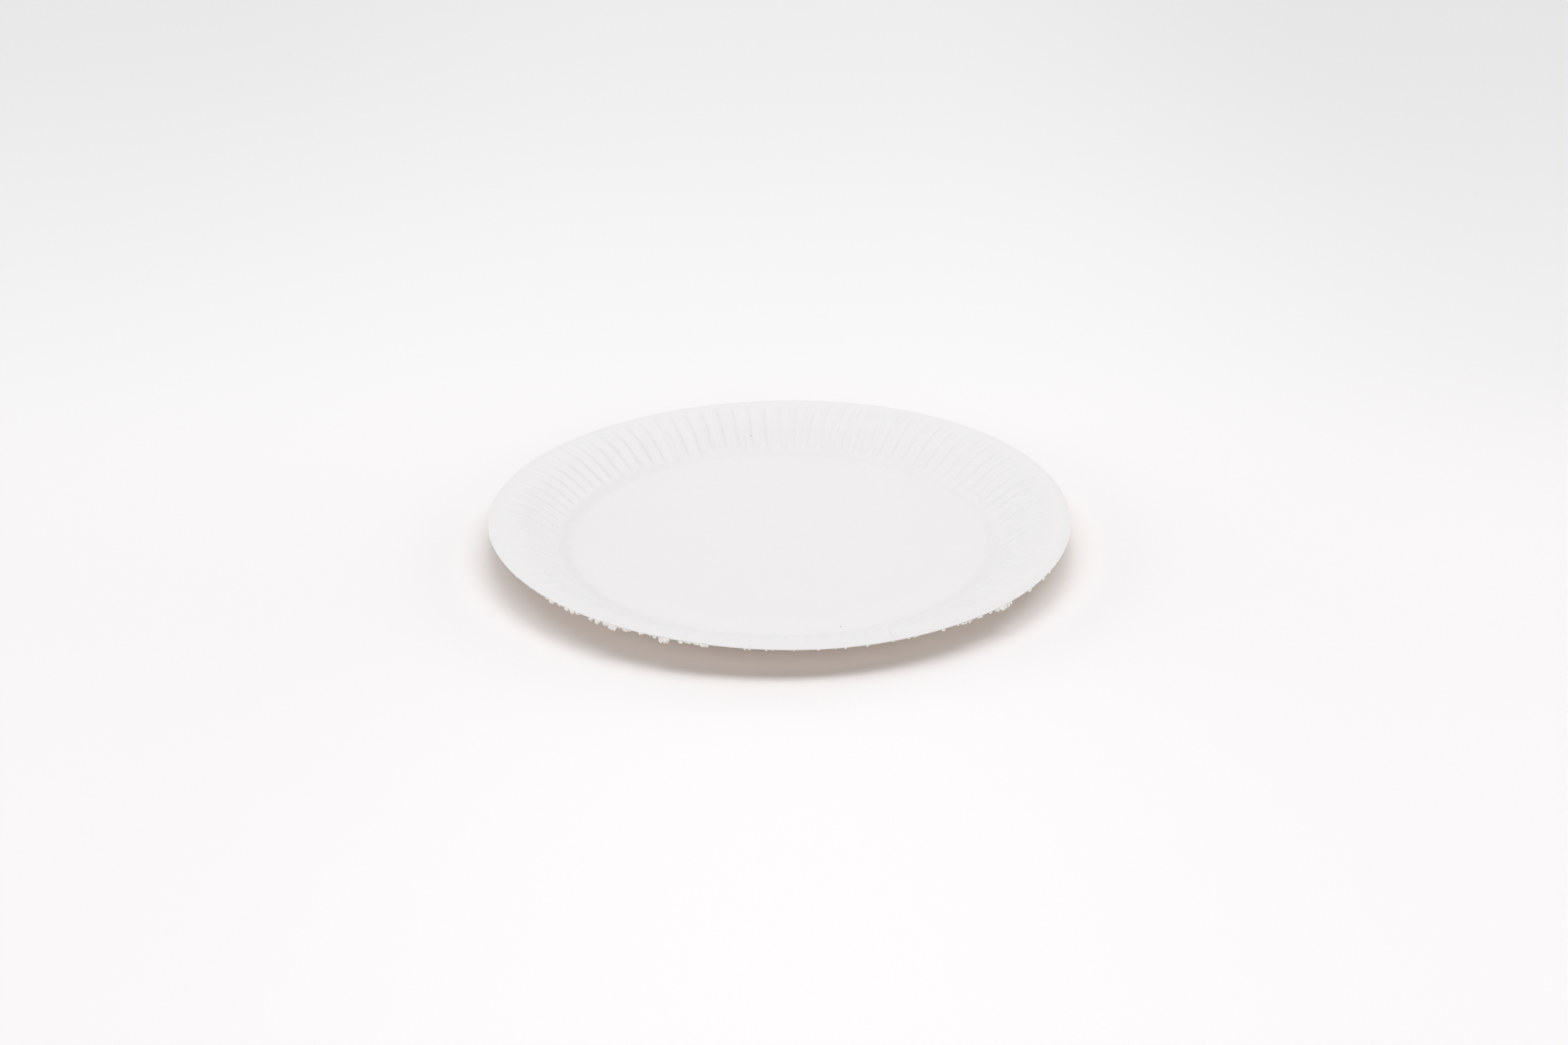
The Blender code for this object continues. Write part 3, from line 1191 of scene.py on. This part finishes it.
def add_lights(sizes):
    """Put up the soft lights over and round the plate."""
    groups = (
        ("high", HIGH_LIGHTS, sizes.high_power, HIGH_LIGHT_COLOUR),
        ("low", LOW_LIGHTS, sizes.low_power, LOW_LIGHT_COLOUR),
    )
    for group, lights, power, colour in groups:
        whole = sum(share for _, _, share in lights)
        for number, (heading, elevation, share) in enumerate(lights):
            light = bpy.data.lights.new(f"{group}_{number}", "AREA")
            light.shape = "DISK"
            light.size = sizes.lamp_width
            light.energy = power * share / whole
            light.color = colour
            lamp = bpy.data.objects.new(light.name, light)
            up = Matrix.Rotation(math.radians(90 - elevation), 4, "Y")
            round_the_plate = Matrix.Rotation(math.radians(heading), 4, "Z")
            distance = Matrix.Translation((0, 0, sizes.lamp_distance))
            lamp.matrix_world = round_the_plate @ up @ distance
            bpy.context.scene.collection.objects.link(lamp)


def add_backdrop():
    """Show a plain pale backdrop to the camera, which lights nothing."""
    world = bpy.data.worlds.new("surroundings")
    world.use_nodes = True
    bpy.context.scene.world = world
    tree = world.node_tree
    unlit = tree.nodes["Background"]
    unlit.inputs["Strength"].default_value = 0.0
    plain = tree.nodes.new("ShaderNodeBackground")
    plain.inputs["Color"].default_value = BACKDROP_COLOUR
    plain.inputs["Strength"].default_value = 1.0
    path = tree.nodes.new("ShaderNodeLightPath")
    seen = tree.nodes.new("ShaderNodeMath")
    seen.operation = "MAXIMUM"
    tree.links.new(path.outputs["Is Camera Ray"], seen.inputs[0])
    tree.links.new(path.outputs["Is Transmission Ray"], seen.inputs[1])
    either = tree.nodes.new("ShaderNodeMixShader")
    tree.links.new(seen.outputs[0], either.inputs[0])
    tree.links.new(unlit.outputs[0], either.inputs[1])
    tree.links.new(plain.outputs[0], either.inputs[2])
    tree.links.new(either.outputs[0], tree.nodes["World Output"].inputs["Surface"])


def add_camera():
    """Stand the camera where the photograph was taken from."""
    lens = bpy.data.cameras.new("camera")
    lens.sensor_width = FILM_WIDTH
    lens.sensor_fit = "HORIZONTAL"
    lens.lens = LENS
    lens.clip_start = NEAREST_SEEN
    camera = bpy.data.objects.new("camera", lens)
    back = Vector((0, -math.cos(CAMERA_ELEVATION), math.sin(CAMERA_ELEVATION)))
    place = Matrix.Translation(CAMERA_AIM + back * CAMERA_DISTANCE)
    turn = Matrix.Rotation(math.pi / 2 - CAMERA_ELEVATION, 4, "X")
    roll = Matrix.Rotation(CAMERA_ROLL, 4, "Z")
    camera.matrix_world = place @ turn @ roll
    bpy.context.scene.collection.objects.link(camera)
    bpy.context.scene.camera = camera


class SCENE_OT_plate_stage_add(bpy.types.Operator):
    """Add the floor, the lights and the camera"""

    bl_idname = "scene.plate_stage_add"
    bl_label = "Add Stage"
    bl_options = {"REGISTER", "UNDO"}

    def execute(self, context):
        sizes = context.scene.plate_stage
        add_floor(sizes)
        add_lights(sizes)
        add_backdrop()
        add_camera()
        context.scene.view_settings.view_transform = "Standard"
        return {"FINISHED"}


class VIEW3D_PT_paper_plate(bpy.types.Panel):
    """Lists the pieces of the paper plate and its stage"""

    bl_label = "Paper Plate"
    bl_idname = "VIEW3D_PT_paper_plate"
    bl_space_type = "VIEW_3D"
    bl_region_type = "UI"
    bl_category = "Paper Plate"

    def draw(self, context):
        for settings, operator in PANEL_ROWS:
            box = self.layout.box()
            group = getattr(context.scene, settings)
            for name in group.__annotations__:
                box.prop(group, name)
            box.operator(operator)


PANEL_ROWS = (
    ("plate_board", "mesh.pressed_board_add"),
    ("plate_fibres", "mesh.edge_fibres_add"),
    ("plate_stage", "scene.plate_stage_add"),
)

CLASSES = (
    BoardSizes,
    FibreSizes,
    StageSizes,
    MESH_OT_pressed_board_add,
    MESH_OT_edge_fibres_add,
    SCENE_OT_plate_stage_add,
    VIEW3D_PT_paper_plate,
)


def register():
    """Register the classes and give the scene their settings."""
    for kind in CLASSES:
        bpy.utils.register_class(kind)
    bpy.types.Scene.plate_board = PointerProperty(type=BoardSizes)
    bpy.types.Scene.plate_fibres = PointerProperty(type=FibreSizes)
    bpy.types.Scene.plate_stage = PointerProperty(type=StageSizes)


def unregister():
    """Take the settings and the classes away again."""
    del bpy.types.Scene.plate_stage
    del bpy.types.Scene.plate_fibres
    del bpy.types.Scene.plate_board
    for kind in reversed(CLASSES):
        bpy.utils.unregister_class(kind)


def main():
    """Build the pieces and the stage."""
    register()
    bpy.ops.mesh.pressed_board_add()
    bpy.ops.mesh.edge_fibres_add()
    bpy.ops.scene.plate_stage_add()


if __name__ == "__main__":
    main()
